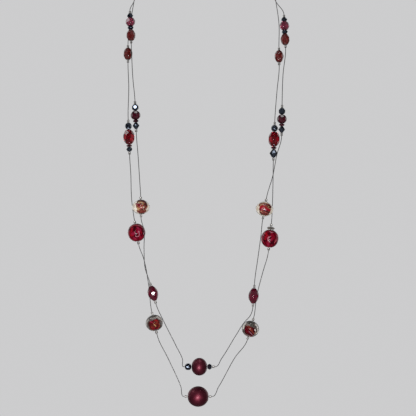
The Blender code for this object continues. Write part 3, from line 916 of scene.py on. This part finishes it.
def decorate(mesh, body, base, trails, turns, seed, most):
    """Lays the base colours and the trails on a skin, as colour, clearness and relief.

    The trails are laid again at each turn round the bead, the front ones last. No place stands
    out further than the most allowed.
    """
    count = len(mesh.vertices)
    skin = np.empty(count * 3)
    mesh.vertices.foreach_get("co", skin)
    skin = skin.reshape(-1, 3)
    cloud = mottle(skin, CLOUD_SIZE, seed)
    fine = mottle(skin, STREAK_SIZE, seed + STREAK_SEED)
    wander = (mottle(skin, WANDER_SIZE, seed + WANDER_SEED) - 0.5) * 2 * TRAIL_WANDER
    stops = np.linspace(0.0, 1.0, len(base))
    mixed = np.clip((cloud - 0.5) * CLOUD_CONTRAST + 0.5 + (fine - 0.5) * 0.5, 0.0, 1.0)
    table = np.array(base)
    colour = np.stack([np.interp(mixed, stops, table[:, k]) for k in range(4)], axis=1)
    lift = np.zeros(count)
    for turn in turns:
        for trail in trails:
            away = stroke_distance(skin, stroke_on(body, trail.places, turn)) + wander
            edge = (trail.width / 2 + TRAIL_SOFTNESS - away) / (2 * TRAIL_SOFTNESS)
            share = np.clip(edge, 0.0, 1.0)
            share = share * share * (3 - 2 * share)
            shade = TRAIL_SHADES[0] + TRAIL_SHADES[1] * fine[:, None]
            colour += (np.array((*trail.colour, trail.clear)) * shade - colour) * share[:, None]
            lift += trail.relief * share
    lift = np.minimum(lift, most) - SKIN_SINK + (cloud - 0.5) * SKIN_WAVES
    lift = np.where(np.hypot(skin[:, 0], skin[:, 1]) > body.width * SKIN_FROM, lift, 0.0)
    normals = np.empty(count * 3)
    mesh.vertices.foreach_get("normal", normals)
    skin += normals.reshape(-1, 3) * lift[:, None]
    mesh.vertices.foreach_set("co", skin.ravel())
    layer = mesh.attributes.new("glass_colour", "FLOAT_COLOR", "POINT")
    rgba = np.concatenate([np.clip(colour[:, :3], 0.0, 1.0), np.ones((count, 1))], axis=1)
    layer.data.foreach_set("color", rgba.ravel().astype(np.float32))
    if colour[:, 3].any():
        clear = mesh.attributes.new("clear", "FLOAT", "POINT")
        clear.data.foreach_set("value", np.clip(colour[:, 3], 0.0, 1.0).astype(np.float32))
    mesh.update()
    mesh.shade_smooth()


def lampwork_glass(name, gloss, shine, see_through=False):
    """Soft glass in the colours laid on the skin, with fine streaks, faint ripples and a wet gloss."""
    material, tree, shader, place = new_material(name)
    laid = add_node(tree, "Attribute", attribute_name="glass_colour").outputs["Color"]
    streaks = add_noise(tree, place, 900.0, 4.0, 1.8)
    shade = add_ramp(tree, streaks, [(0.28, (0.62, 0.60, 0.60)), (0.70, (1.18, 1.16, 1.14))])
    streaked = {"Fac": 1.0, "Color1": laid, "Color2": shade}
    ripple = add_noise(tree, place, 520.0, 3.0)
    looks = {
        "Base Color": add_node(tree, "MixRGB", streaked, blend_type="MULTIPLY").outputs["Color"],
        "Roughness": add_range(tree, ripple, gloss * 0.5, gloss * 1.6),
        "Normal": add_bump(tree, ripple, 0.22, 0.00012),
        "IOR": 1.52,
        "Specular IOR Level": shine,
    }
    if see_through:
        clear = add_node(tree, "Attribute", attribute_name="clear")
        looks["Transmission Weight"] = clear.outputs["Fac"]
    set_inputs(shader, looks)
    return material


def string_lampwork(kind, width, fullness, base, faces, turns, finish, most=MOST_RELIEF):
    """Makes the beads of a lampwork kind, each with its own trails and its own seed."""
    body = Body(width, ROOM[kind] / MILLIMETRE, fullness)
    for name, (seed, rows) in zip(beads_of(kind), faces.items()):
        mesh = wound_bead(name + "_wound", body)
        decorate(mesh, body, base, [Trail(*row) for row in rows], turns, seed, most)
        mesh.transform(to_metres(bead_places[name]))
        new_piece(name + "_wound", mesh, finish, kind + "_glass", name)


CREAM = (0.80, 0.69, 0.54)
WHITE = (0.84, 0.80, 0.74)
MILK = (0.50, 0.47, 0.44)
SMOKE = (0.13, 0.125, 0.105)
TAN = (0.46, 0.27, 0.12)
BRICK = (0.20, 0.042, 0.028)
BROWN = (0.12, 0.024, 0.016)
UMBER = (0.045, 0.012, 0.010)
MAROON = (0.085, 0.006, 0.008)
RED = (0.31, 0.005, 0.014)
CRIMSON = (0.20, 0.003, 0.014)
MAGENTA = (0.25, 0.011, 0.040)
WINE = (0.045, 0.001, 0.005)
CORAL = (0.32, 0.060, 0.034)
RUST = (0.17, 0.022, 0.015)
ROSE = (0.42, 0.085, 0.10)
LILAC = (0.44, 0.18, 0.23)
NIGHT = (0.010, 0.012, 0.040)
SPECK_LENGTH = 0.5
SPECK_WIDTHS = (0.25, 0.6)
SPECK_RELIEF = 0.03


def frit(colours, left, right, low, high, count, seed):
    """Specks of crushed glass that the bead was rolled in: small dots, strewn over its face."""
    hand = random.Random(seed)
    specks = []
    for _ in range(count):
        x = hand.uniform(left, right)
        z = hand.uniform(low, high)
        ends = (x, z, x + SPECK_LENGTH, z + hand.uniform(-SPECK_LENGTH, SPECK_LENGTH))
        specks.append((hand.choice(colours), ends, hand.uniform(*SPECK_WIDTHS), SPECK_RELIEF))
    return specks


# Ivory beads. A lean bead of cream glass, its front and back overlaid with a mottle of red, brown,
# tan and wine glass that leaves the cream bare at the two sides, and rolled in crushed glass.
IVORY_WIDTH = 12.3
IVORY_BASE = [(0.66, 0.57, 0.45, 0.0), (0.92, 0.84, 0.71, 0.0), (0.98, 0.94, 0.86, 0.0)]
IVORY_FRIT = ((TAN, ROSE, UMBER, WINE, BRICK, CRIMSON), -2.6, 2.8, -4.2, 4.2, 34)
ivory_left = [
    (BRICK, (-1.1, -3.2, 2.4, -3.2), 3.8),
    (BRICK, (-1.0, 0.3, 2.9, 0.6), 4.8),
    (BROWN, (-1.4, 3.8, 2.6, 3.8), 2.8),
    (UMBER, (-1.6, 4.6, 1.8, 4.6), 1.2),
    (UMBER, (-0.8, -4.5, 2.0, -4.5), 1.3),
    (CRIMSON, (-2.9, 2.0, -1.6, 0.9, 0.4, 1.0), 1.7, 0.08),
    (WINE, (-1.7, 0.6), 0.7),
    (TAN, (-1.0, 3.1, 1.6, 3.0), 1.2, 0.06),
    (UMBER, (1.2, 1.8, 2.8, 1.3), 1.1),
    (WINE, (2.4, 3.5, 3.8, 2.4, 3.9, 0.7), 1.3),
    (UMBER, (-2.2, 3.0, -1.4, 4.0), 0.6),
    (CREAM, (1.3, 0.4, 2.3, -0.2, 1.6, -0.9), 0.5, 0.06),
    # Painted highlight: the rose and lilac dabs near the middle stand in for the front light's
    # reflection.
    (ROSE, (-0.8, 0.0, 0.4, -0.9), 1.0, 0.05),
    (LILAC, (-0.4, -0.2, 0.2, -0.6), 0.5, 0.05),
    (WINE, (0.6, -1.7, 2.6, -2.8), 0.8),
    (TAN, (-2.2, -1.0, -1.2, -2.4), 0.7, 0.05),
    (UMBER, (-2.4, -2.4, -1.0, -3.6), 0.8),
    (CRIMSON, (1.2, -3.6, 3.0, -1.6), 0.7, 0.05),
    (ROSE, (3.0, 3.7), 0.8, 0.04),
    (MILK, (-5.2, 0.6, -4.5, 1.0, -4.6, -0.7), 0.4),
    (TAN, (4.8, 0.4, 4.6, -0.8), 0.6),
]
ivory_right = [
    (BRICK, (-2.9, 2.6, 2.8, 2.8), 3.8),
    (BROWN, (-1.3, -2.9, 1.8, -3.2), 4.2),
    (BRICK, (-2.3, -0.8, 2.8, -1.0), 3.8),
    (CRIMSON, (-2.2, 0.3, 3.2, 0.2), 3.0),
    (TAN, (-3.1, 2.2, -1.8, 3.0), 1.1, 0.05),
    (RED, (-3.0, 0.8, -1.4, 1.4, -0.6, 1.9), 1.6, 0.08),
    (RED, (-2.6, 0.1, 0.6, 0.5, 3.6, -0.3), 0.9, 0.05),
    (CORAL, (-0.4, 2.4, 0.8, 1.7, 1.6, 1.0), 0.7, 0.06),
    (WINE, (-0.8, 3.2, 0.6, 3.1, 1.8, 2.6), 0.8),
    (WINE, (2.0, 2.9, 3.8, 2.6), 0.9),
    (UMBER, (1.4, 1.7, 3.2, 1.5, 4.3, 1.6), 0.6),
    (TAN, (1.8, 1.3, 3.2, 0.9, 4.6, 0.3), 0.35, 0.05),
    # Painted highlight: the lilac stroke and the white dot near the middle stand in for the front
    # light's reflection.
    (LILAC, (-1.8, -0.5, -0.5, 0.2, 0.9, -0.8), 0.8, 0.06),
    (WHITE, (-1.0, 0.4), 0.8, 0.06),
    (NIGHT, (-0.3, -0.6, 0.6, -1.4), 0.6),
    (WINE, (0.8, -1.7, 1.8, -1.2), 0.7),
    (ROSE, (-2.4, -1.8, -1.2, -2.5), 1.3, 0.05),
    (WINE, (2.0, -1.6, 3.6, -2.1), 0.9),
    (UMBER, (-3.1, -0.8, -2.7, -2.6), 0.6),
    (BROWN, (-0.6, -3.4, 1.6, -3.5), 1.0),
    (SMOKE, (-1.6, -4.4, 1.6, -4.4), 1.0),
]
ivory_left += frit(*IVORY_FRIT, 41)
ivory_right += frit(*IVORY_FRIT, 42)
ivory_finish = lampwork_glass("ivory_lampwork", gloss=0.06, shine=0.5)
ivory_faces = {1: ivory_left, 2: ivory_right}
string_lampwork(
    "ivory_lampwork", IVORY_WIDTH, 1.3, IVORY_BASE, ivory_faces, (172, 0), ivory_finish
)

# Crimson beads. Red glass wound with petals of crimson, magenta and wine like a folded rose, with fine
# lilac lines among them, and the whole melted smooth. The lilac arcs near the middle are a painted
# reflection of the front light, and the rose and lilac lines along the edges are a painted rim light.
CRIMSON_WIDTH = 12.1
CRIMSON_BASE = [(0.045, 0.001, 0.005, 0.0), (0.16, 0.002, 0.012, 0.0), (0.26, 0.005, 0.022, 0.0)]
crimson_left = [
    (CRIMSON, (-4.2, 0.4, -2.6, 3.2), 2.2, 0.06),
    (RED, (-4.6, -0.8, -3.0, -1.8), 1.5, 0.05),
    (RED, (-3.4, 1.2, -2.4, 3.0), 0.8),
    (MAGENTA, (-3.0, -0.5, -1.4, -0.4), 1.7, 0.05),
    (WINE, (-0.9, 3.8, -0.6, 1.4, -0.4, -1.0, 0.2, -2.0), 1.0),
    (LILAC, (-1.1, 0.8, -0.9, -0.6, -1.0, -1.8), 0.35, 0.05),
    (WINE, (-0.4, 4.4, 0.6, 3.0), 1.0),
    (MAGENTA, (1.6, 3.0, 2.6, 1.4, 1.2, -0.2), 2.0, 0.05),
    # Painted reflection: this lilac arc stands in for the front light's reflection.
    (LILAC, (1.8, 0.3, 1.9, -1.4, 1.2, -2.8, 0.0, -3.1, -0.9, -2.3), 0.5, 0.06),
    (RED, (3.4, -0.4), 1.3, 0.04),
    (WINE, (4.5, 1.4, 4.1, -1.6, 3.0, -2.9), 0.9),
    (WINE, (2.6, -0.6, 2.7, -2.2), 0.6),
    (WINE, (-0.2, -3.8, 1.0, -4.0), 0.9),
    (MAGENTA, (-2.6, -3.2, -1.2, -4.4), 1.3, 0.05),
    (WINE, (-4.6, -2.4, -2.6, -2.6), 0.6),
    # Painted rim light: the rose and lilac lines along the top and the two sides.
    (ROSE, (-3.4, 4.6, -0.8, 5.2, 1.6, 5.0), 0.7, 0.05),
    (LILAC, (1.8, 4.8, 3.8, 3.8, 5.0, 2.0), 0.6, 0.05),
    (LILAC, (-5.3, 1.8, -5.8, 0.0, -5.2, -2.2), 0.45, 0.04),
    (LILAC, (5.6, 0.6, 5.7, -1.0), 0.45, 0.04),
]
crimson_right = [
    # Painted sheen: a rose patch at the upper left.
    (ROSE, (-4.3, 3.4, -3.2, 3.2), 1.2, 0.05),
    (RED, (-3.0, 3.4, -2.3, 1.8, -3.2, 1.0), 1.5, 0.06),
    (RED, (-3.7, -0.4, -2.8, -0.9), 1.1),
    (WINE, (-4.6, 0.7, -4.2, -0.2), 0.9),
    (WINE, (-2.4, -0.6, -2.2, -1.8), 0.7),
    (MAGENTA, (1.1, -0.6), 1.6, 0.05),
    (CRIMSON, (1.2, 3.4, 2.6, 2.0, 2.4, 0.4), 1.9, 0.06),
    # Painted reflection: this lilac C arc stands in for the front light's reflection.
    (LILAC, (0.2, 1.4, -1.0, 0.9, -1.5, -0.4, -1.0, -1.9, 0.2, -2.5), 0.6, 0.08),
    (WINE, (0.2, 0.8, -0.3, -0.3, 0.0, -1.6), 0.9),
    (WINE, (2.0, -1.9), 0.9),
    (WINE, (-0.4, 4.4, -0.3, 2.4), 0.9),
    # Painted rim light: the lilac line along the top.
    (LILAC, (-0.7, 4.9, 0.6, 4.3, 1.8, 4.6), 0.7, 0.05),
    (WINE, (2.0, 4.1, 3.4, 2.6, 4.2, 0.8), 0.7),
    (ROSE, (4.2, -0.8, 3.6, -2.4), 0.8, 0.05),
    (WINE, (-4.2, -1.8, -2.6, -3.6), 0.9),
    (MAGENTA, (-1.0, -3.6, -0.6, -4.8), 1.4, 0.05),
    (WINE, (1.6, -3.5, 3.0, -3.2), 0.8),
    (WINE, (0.8, -2.6, 0.6, -4.4), 0.5),
    # Painted rim light: the lilac lines along the two sides.
    (LILAC, (-5.0, 2.6, -5.8, 0.6, -5.6, -1.2), 0.45, 0.04),
    (LILAC, (4.8, 3.0, 5.8, 0.8, 5.2, -2.2), 0.45, 0.04),
]
crimson_finish = lampwork_glass("crimson_lampwork", gloss=0.05, shine=0.07)
crimson_faces = {3: crimson_left, 4: crimson_right}
string_lampwork(
    "crimson_lampwork", CRIMSON_WIDTH, 0.95, CRIMSON_BASE, crimson_faces, (240, 120, 0), crimson_finish
)

# Swirl beads. Clear glass, smoky at the top, over a wide streaked field of coral, red and wine glass.
# Wisps of milky white lie on the clear glass at the top and the two sides, thick enough to feel. On the
# right bead one small white spot is a painted highlight.
SWIRL_WIDTH = 12.0
SWIRL_BASE = [(0.20, 0.19, 0.17, 0.75), (0.34, 0.32, 0.30, 0.7), (0.46, 0.44, 0.42, 0.6)]
SWIRL_RELIEF = 0.3
swirl_left = [
    (MAROON, (-2.7, -0.4, 2.0, 0.4), 4.6),
    (MAROON, (-2.4, -2.9, 1.9, -3.0), 4.2),
    (UMBER, (-3.6, 0.8, -3.8, -0.8), 1.4),
    (MAGENTA, (-2.4, 1.4, -1.2, 1.0), 1.0, 0.04),
    (WINE, (-2.2, 2.9, -1.5, 2.6), 0.9),
    (RUST, (1.2, 1.6, 2.4, 0.7, 1.6, -0.6), 1.5, 0.05),
    (RUST, (-0.6, 0.3, 0.8, -0.6), 1.1),
    (TAN, (-0.2, -1.0, 0.5, -2.2), 0.7, 0.10),
    (RUST, (-2.8, -2.2, -1.0, -2.7), 1.0),
    (CRIMSON, (-1.6, -3.4, 1.2, -4.2), 1.7, 0.08),
    (RED, (1.0, 2.2, 2.2, 1.2), 0.7, 0.08),
    (CORAL, (3.1, -1.0, 3.0, -3.0, 1.8, -4.2), 0.5, 0.04),
    (BRICK, (-3.4, -3.6, -1.6, -4.7), 0.9),
    (WINE, (0.4, 0.8, 0.0, -0.4), 0.4),
    (SMOKE, (-2.4, 4.4, 0.0, 4.6, 2.2, 4.6), 1.0, 0.0, 0.5),
    (MILK, (-1.8, 3.9, 0.2, 3.5, 1.8, 3.9), 0.7, 0.05, 0.3),
    (MILK, (3.2, 3.6, 4.7, 2.1, 5.3, 0.9), 1.9, 0.30, 0.15),
    (MILK, (-3.6, 3.0, -5.2, 1.4, -5.5, -0.6), 1.0, 0.10, 0.1),
    (WHITE, (-5.2, -2.1, -4.7, -2.6), 0.7, 0.08, 0.1),
    (MILK, (5.5, -0.2, 4.7, -2.2), 0.8, 0.05, 0.4),
]
swirl_left += frit((UMBER, WINE, BROWN, RUST), -3.2, 2.6, -4.0, 1.6, 26, 45)
swirl_right = [
    (WINE, (-2.4, -0.4, 2.0, -0.4), 4.4),
    (WINE, (-2.0, -2.9, 2.0, -3.2), 4.0),
    (BROWN, (-1.8, 1.6, 1.2, 0.2), 1.0),
    (CORAL, (-3.7, 2.2, -1.8, 0.6, 0.4, -1.0), 0.40, 0.08),
    (RUST, (-3.9, 1.1, -2.6, -0.1, -1.0, -1.3), 0.35),
    (RUST, (-2.2, 1.9, -0.2, 0.6, 1.8, -0.8), 0.45),
    (WINE, (-2.6, 0.9, -0.8, -0.6, 1.0, -1.9), 0.45),
    (CORAL, (-0.8, 0.3, 1.4, -1.2, 3.2, -2.4), 0.35, 0.05),
    (CRIMSON, (-3.4, -1.0, -1.6, -2.2, 0.2, -3.4), 0.4),
    (LILAC, (-0.6, -1.9, 1.0, -2.7, 2.8, -3.8), 0.30, 0.05),
    (RUST, (-2.6, -2.6, -0.8, -3.8), 0.35),
    (RED, (-2.6, -4.6, 0.0, -5.0, 2.6, -4.6), 0.6),
    (WINE, (1.6, 0.6, 2.2, 0.0), 0.9),
    (SMOKE, (-2.2, 3.4, -0.8, 4.3, 0.4, 3.4), 1.8, 0.0, 0.5),
    (SMOKE, (-0.8, 2.6, 0.6, 2.4), 0.9, 0.0, 0.5),
    (MILK, (-2.8, 2.7, -1.4, 2.5), 0.4, 0.0, 0.4),
    (WHITE, (-4.4, 3.0, -5.1, 1.4, -5.0, -0.9), 1.5, 0.10, 0.0),
    (WHITE, (2.6, 3.9, 3.9, 3.0, 4.7, 1.6), 1.2, 0.10, 0.0),
    # Painted highlight: this white spot stands in for a glint.
    (WHITE, (3.1, 0.4, 3.6, -0.2), 0.9, 0.10, 0.0),
    (WHITE, (4.9, 0.8, 5.3, -0.6, 4.9, -2.0), 1.1, 0.10, 0.0),
    (TAN, (4.1, -1.2, 4.2, -2.4), 0.6, 0.0, 0.1),
    (MILK, (3.5, -3.6, 4.4, -2.4), 0.9, 0.05, 0.2),
    (MILK, (-5.4, -1.6, -4.3, -3.9, -1.8, -5.1), 0.6, 0.05, 0.3),
]
swirl_finish = lampwork_glass("swirl_lampwork", gloss=0.05, shine=0.10, see_through=True)
swirl_faces = {5: swirl_left, 6: swirl_right}
string_lampwork(
    "swirl_lampwork", SWIRL_WIDTH, 0.95, SWIRL_BASE, swirl_faces, (176, 0), swirl_finish, SWIRL_RELIEF
)

# Satin pearls. Glass pearls with a dark burgundy coat, dipped in several thin layers and left
# satin, so that the light gathers in one soft pink bloom. The holes at the ends are dimpled.
PEARLS = {
    "satin_pearl": (12.1, 0.95, 0.30),
    "satin_pearl_large": (14.1, 1.0, 0.26),
}
PEARL_LAYERS = [
    (0.30, (0.095, 0.008, 0.020)),
    (0.52, (0.120, 0.012, 0.027)),
    (0.72, (0.150, 0.018, 0.036)),
]


def satin_coat():
    """Pearl lacquer in thin layers: a metal-like wine red, faintly clouded and finely grained."""
    material, tree, shader, place = new_material("satin_pearl_coat")
    layers = add_noise(tree, place, 230.0, 5.0, 0.8)
    skin = add_noise(tree, place, 3200.0, 3.0)
    looks = {
        "Base Color": add_ramp(tree, layers, PEARL_LAYERS),
        "Roughness": add_range(tree, skin, 0.42, 0.56),
        "Normal": add_bump(tree, skin, 0.16, 0.00003),
        "Metallic": 0.9,
        "Coat Weight": 0.25,
        "Coat Roughness": 0.30,
    }
    set_inputs(shader, looks)
    return material


pearl_finish = satin_coat()
for kind, (width, fullness, end) in PEARLS.items():
    for name in beads_of(kind):
        mesh = wound_bead(name + "_dipped", Body(width, ROOM[kind] / MILLIMETRE, fullness, end))
        mesh.transform(to_metres(bead_places[name]))
        mesh.shade_smooth()
        new_piece(name + "_dipped", mesh, pearl_finish, "satin_pearl_coat", name)

# Studio. A pale matt floor, far below, fades into a pale surround. A low front light, two small ones
# by the camera, two above and two broad ones behind light the necklace, and the glass and the
# pearls reflect a room of pale and dark panels that the camera doesn't see.
FLOOR_HEIGHT = -1.2
FLOOR_REACH = 4.0
FLOOR_SIDES = 64
# The floor as the glass sees it, and as the camera does
FLOOR_SHADES = [(0.0, (0.30, 0.30, 0.30)), (1.0, (0.84, 0.83, 0.82))]
FLOOR_FADE = {"From Min": 0.6, "From Max": 3.6, "To Min": 0.45, "To Max": 1.0}
ROOM_PANELS = [(0.46, (0.03, 0.03, 0.033)), (0.58, (0.96, 0.97, 1.00))]
ROOM_LIGHT = 0.30
BACKDROP = (0.92, 0.92, 0.93, 1.0)
BACKDROP_LIGHT = 0.66
LENS = 280.0
SENSOR = 36.0
VIEW_WIDTH = 0.28704
VIEW_MIDDLE = (0.0021, -0.112, -0.1885)
LIGHT_AIM = (0.0, -0.1)
# Place, height aimed at, size and power of each light
LIGHTS = {
    "front": ((-0.15, -2.0, -0.70), -0.20, 0.55, 32.0),
    "flash": ((0.12, -2.3, -0.10), -0.20, 0.2, 4.0),
    "high_flash": ((-0.10, -2.0, 0.50), -0.12, 0.16, 2.0),
    "upper_left": ((-1.15, -0.35, 1.05), -0.18, 0.5, 2.5),
    "overhead": ((0.2, -0.3, 1.5), -0.18, 0.7, 5.0),
    "behind_left": ((-1.3, 1.6, 0.2), -0.18, 2.2, 9.0),
    "behind_right": ((1.3, 1.6, 0.0), -0.18, 2.2, 9.0),
}

bm = bmesh.new()
bmesh.ops.create_circle(bm, cap_ends=True, segments=FLOOR_SIDES, radius=FLOOR_REACH)
bmesh.ops.translate(bm, vec=(0.0, 0.0, FLOOR_HEIGHT), verts=bm.verts)
floor = new_object("floor", mesh_of(bm, "floor"))
floor_finish, tree, shader, place = new_material("floor_matt")
seen = add_node(tree, "LightPath").outputs["Is Camera Ray"]
set_inputs(shader, {"Base Color": add_ramp(tree, seen, FLOOR_SHADES), "Roughness": 0.9})
away = add_node(tree, "VectorMath", {"Vector": place}, operation="LENGTH").outputs["Value"]
fade = add_node(
    tree, "MapRange", {"Value": away, **FLOOR_FADE}, interpolation_type="SMOOTHSTEP"
).outputs["Result"]
share = add_node(tree, "Math", {0: fade, 1: seen}, operation="MULTIPLY").outputs["Value"]
clear = add_node(tree, "BsdfTransparent").outputs["BSDF"]
mixed = add_node(tree, "MixShader", {0: share, 1: shader.outputs["BSDF"], 2: clear})
set_inputs(tree.nodes["Material Output"], {"Surface": mixed.outputs["Shader"]})
floor.data.materials.append(floor_finish)

world = bpy.data.worlds.new("studio")
world.use_nodes = True
tree = world.node_tree
room = tree.nodes["Background"]
way = add_node(tree, "TexCoord").outputs["Generated"]
glow = add_ramp(tree, add_noise(tree, way, 2.4, 1.0), ROOM_PANELS)
set_inputs(room, {"Color": glow, "Strength": ROOM_LIGHT})
backdrop = add_node(tree, "Background", {"Color": BACKDROP, "Strength": BACKDROP_LIGHT})
seen = add_node(tree, "LightPath").outputs["Is Camera Ray"]
sides = {0: seen, 1: room.outputs["Background"], 2: backdrop.outputs["Background"]}
mixed = add_node(tree, "MixShader", sides)
set_inputs(tree.nodes["World Output"], {"Surface": mixed.outputs["Shader"]})
bpy.context.scene.world = world


def soft_light(name, place, height, size, power):
    """A round soft light that is aimed at the necklace and isn't itself in the picture."""
    data = bpy.data.lights.new(name, "AREA")
    data.shape = "DISK"
    data.size = size
    data.energy = power
    light = new_object(name, data)
    light.location = place
    way = Vector((*LIGHT_AIM, height)) - Vector(place)
    light.rotation_euler = way.to_track_quat("-Z", "Y").to_euler()
    light.visible_camera = False


for name, settings in LIGHTS.items():
    soft_light(name, *settings)

camera_data = bpy.data.cameras.new("camera")
camera_data.lens = LENS
camera_data.sensor_width = SENSOR
camera = new_object("camera", camera_data)
distance = VIEW_WIDTH / SENSOR * LENS
camera.location = (VIEW_MIDDLE[0], VIEW_MIDDLE[1] - distance, VIEW_MIDDLE[2])
camera.rotation_euler = (math.pi / 2, 0.0, 0.0)
bpy.context.scene.camera = camera
bpy.context.scene.view_settings.view_transform = "Standard"
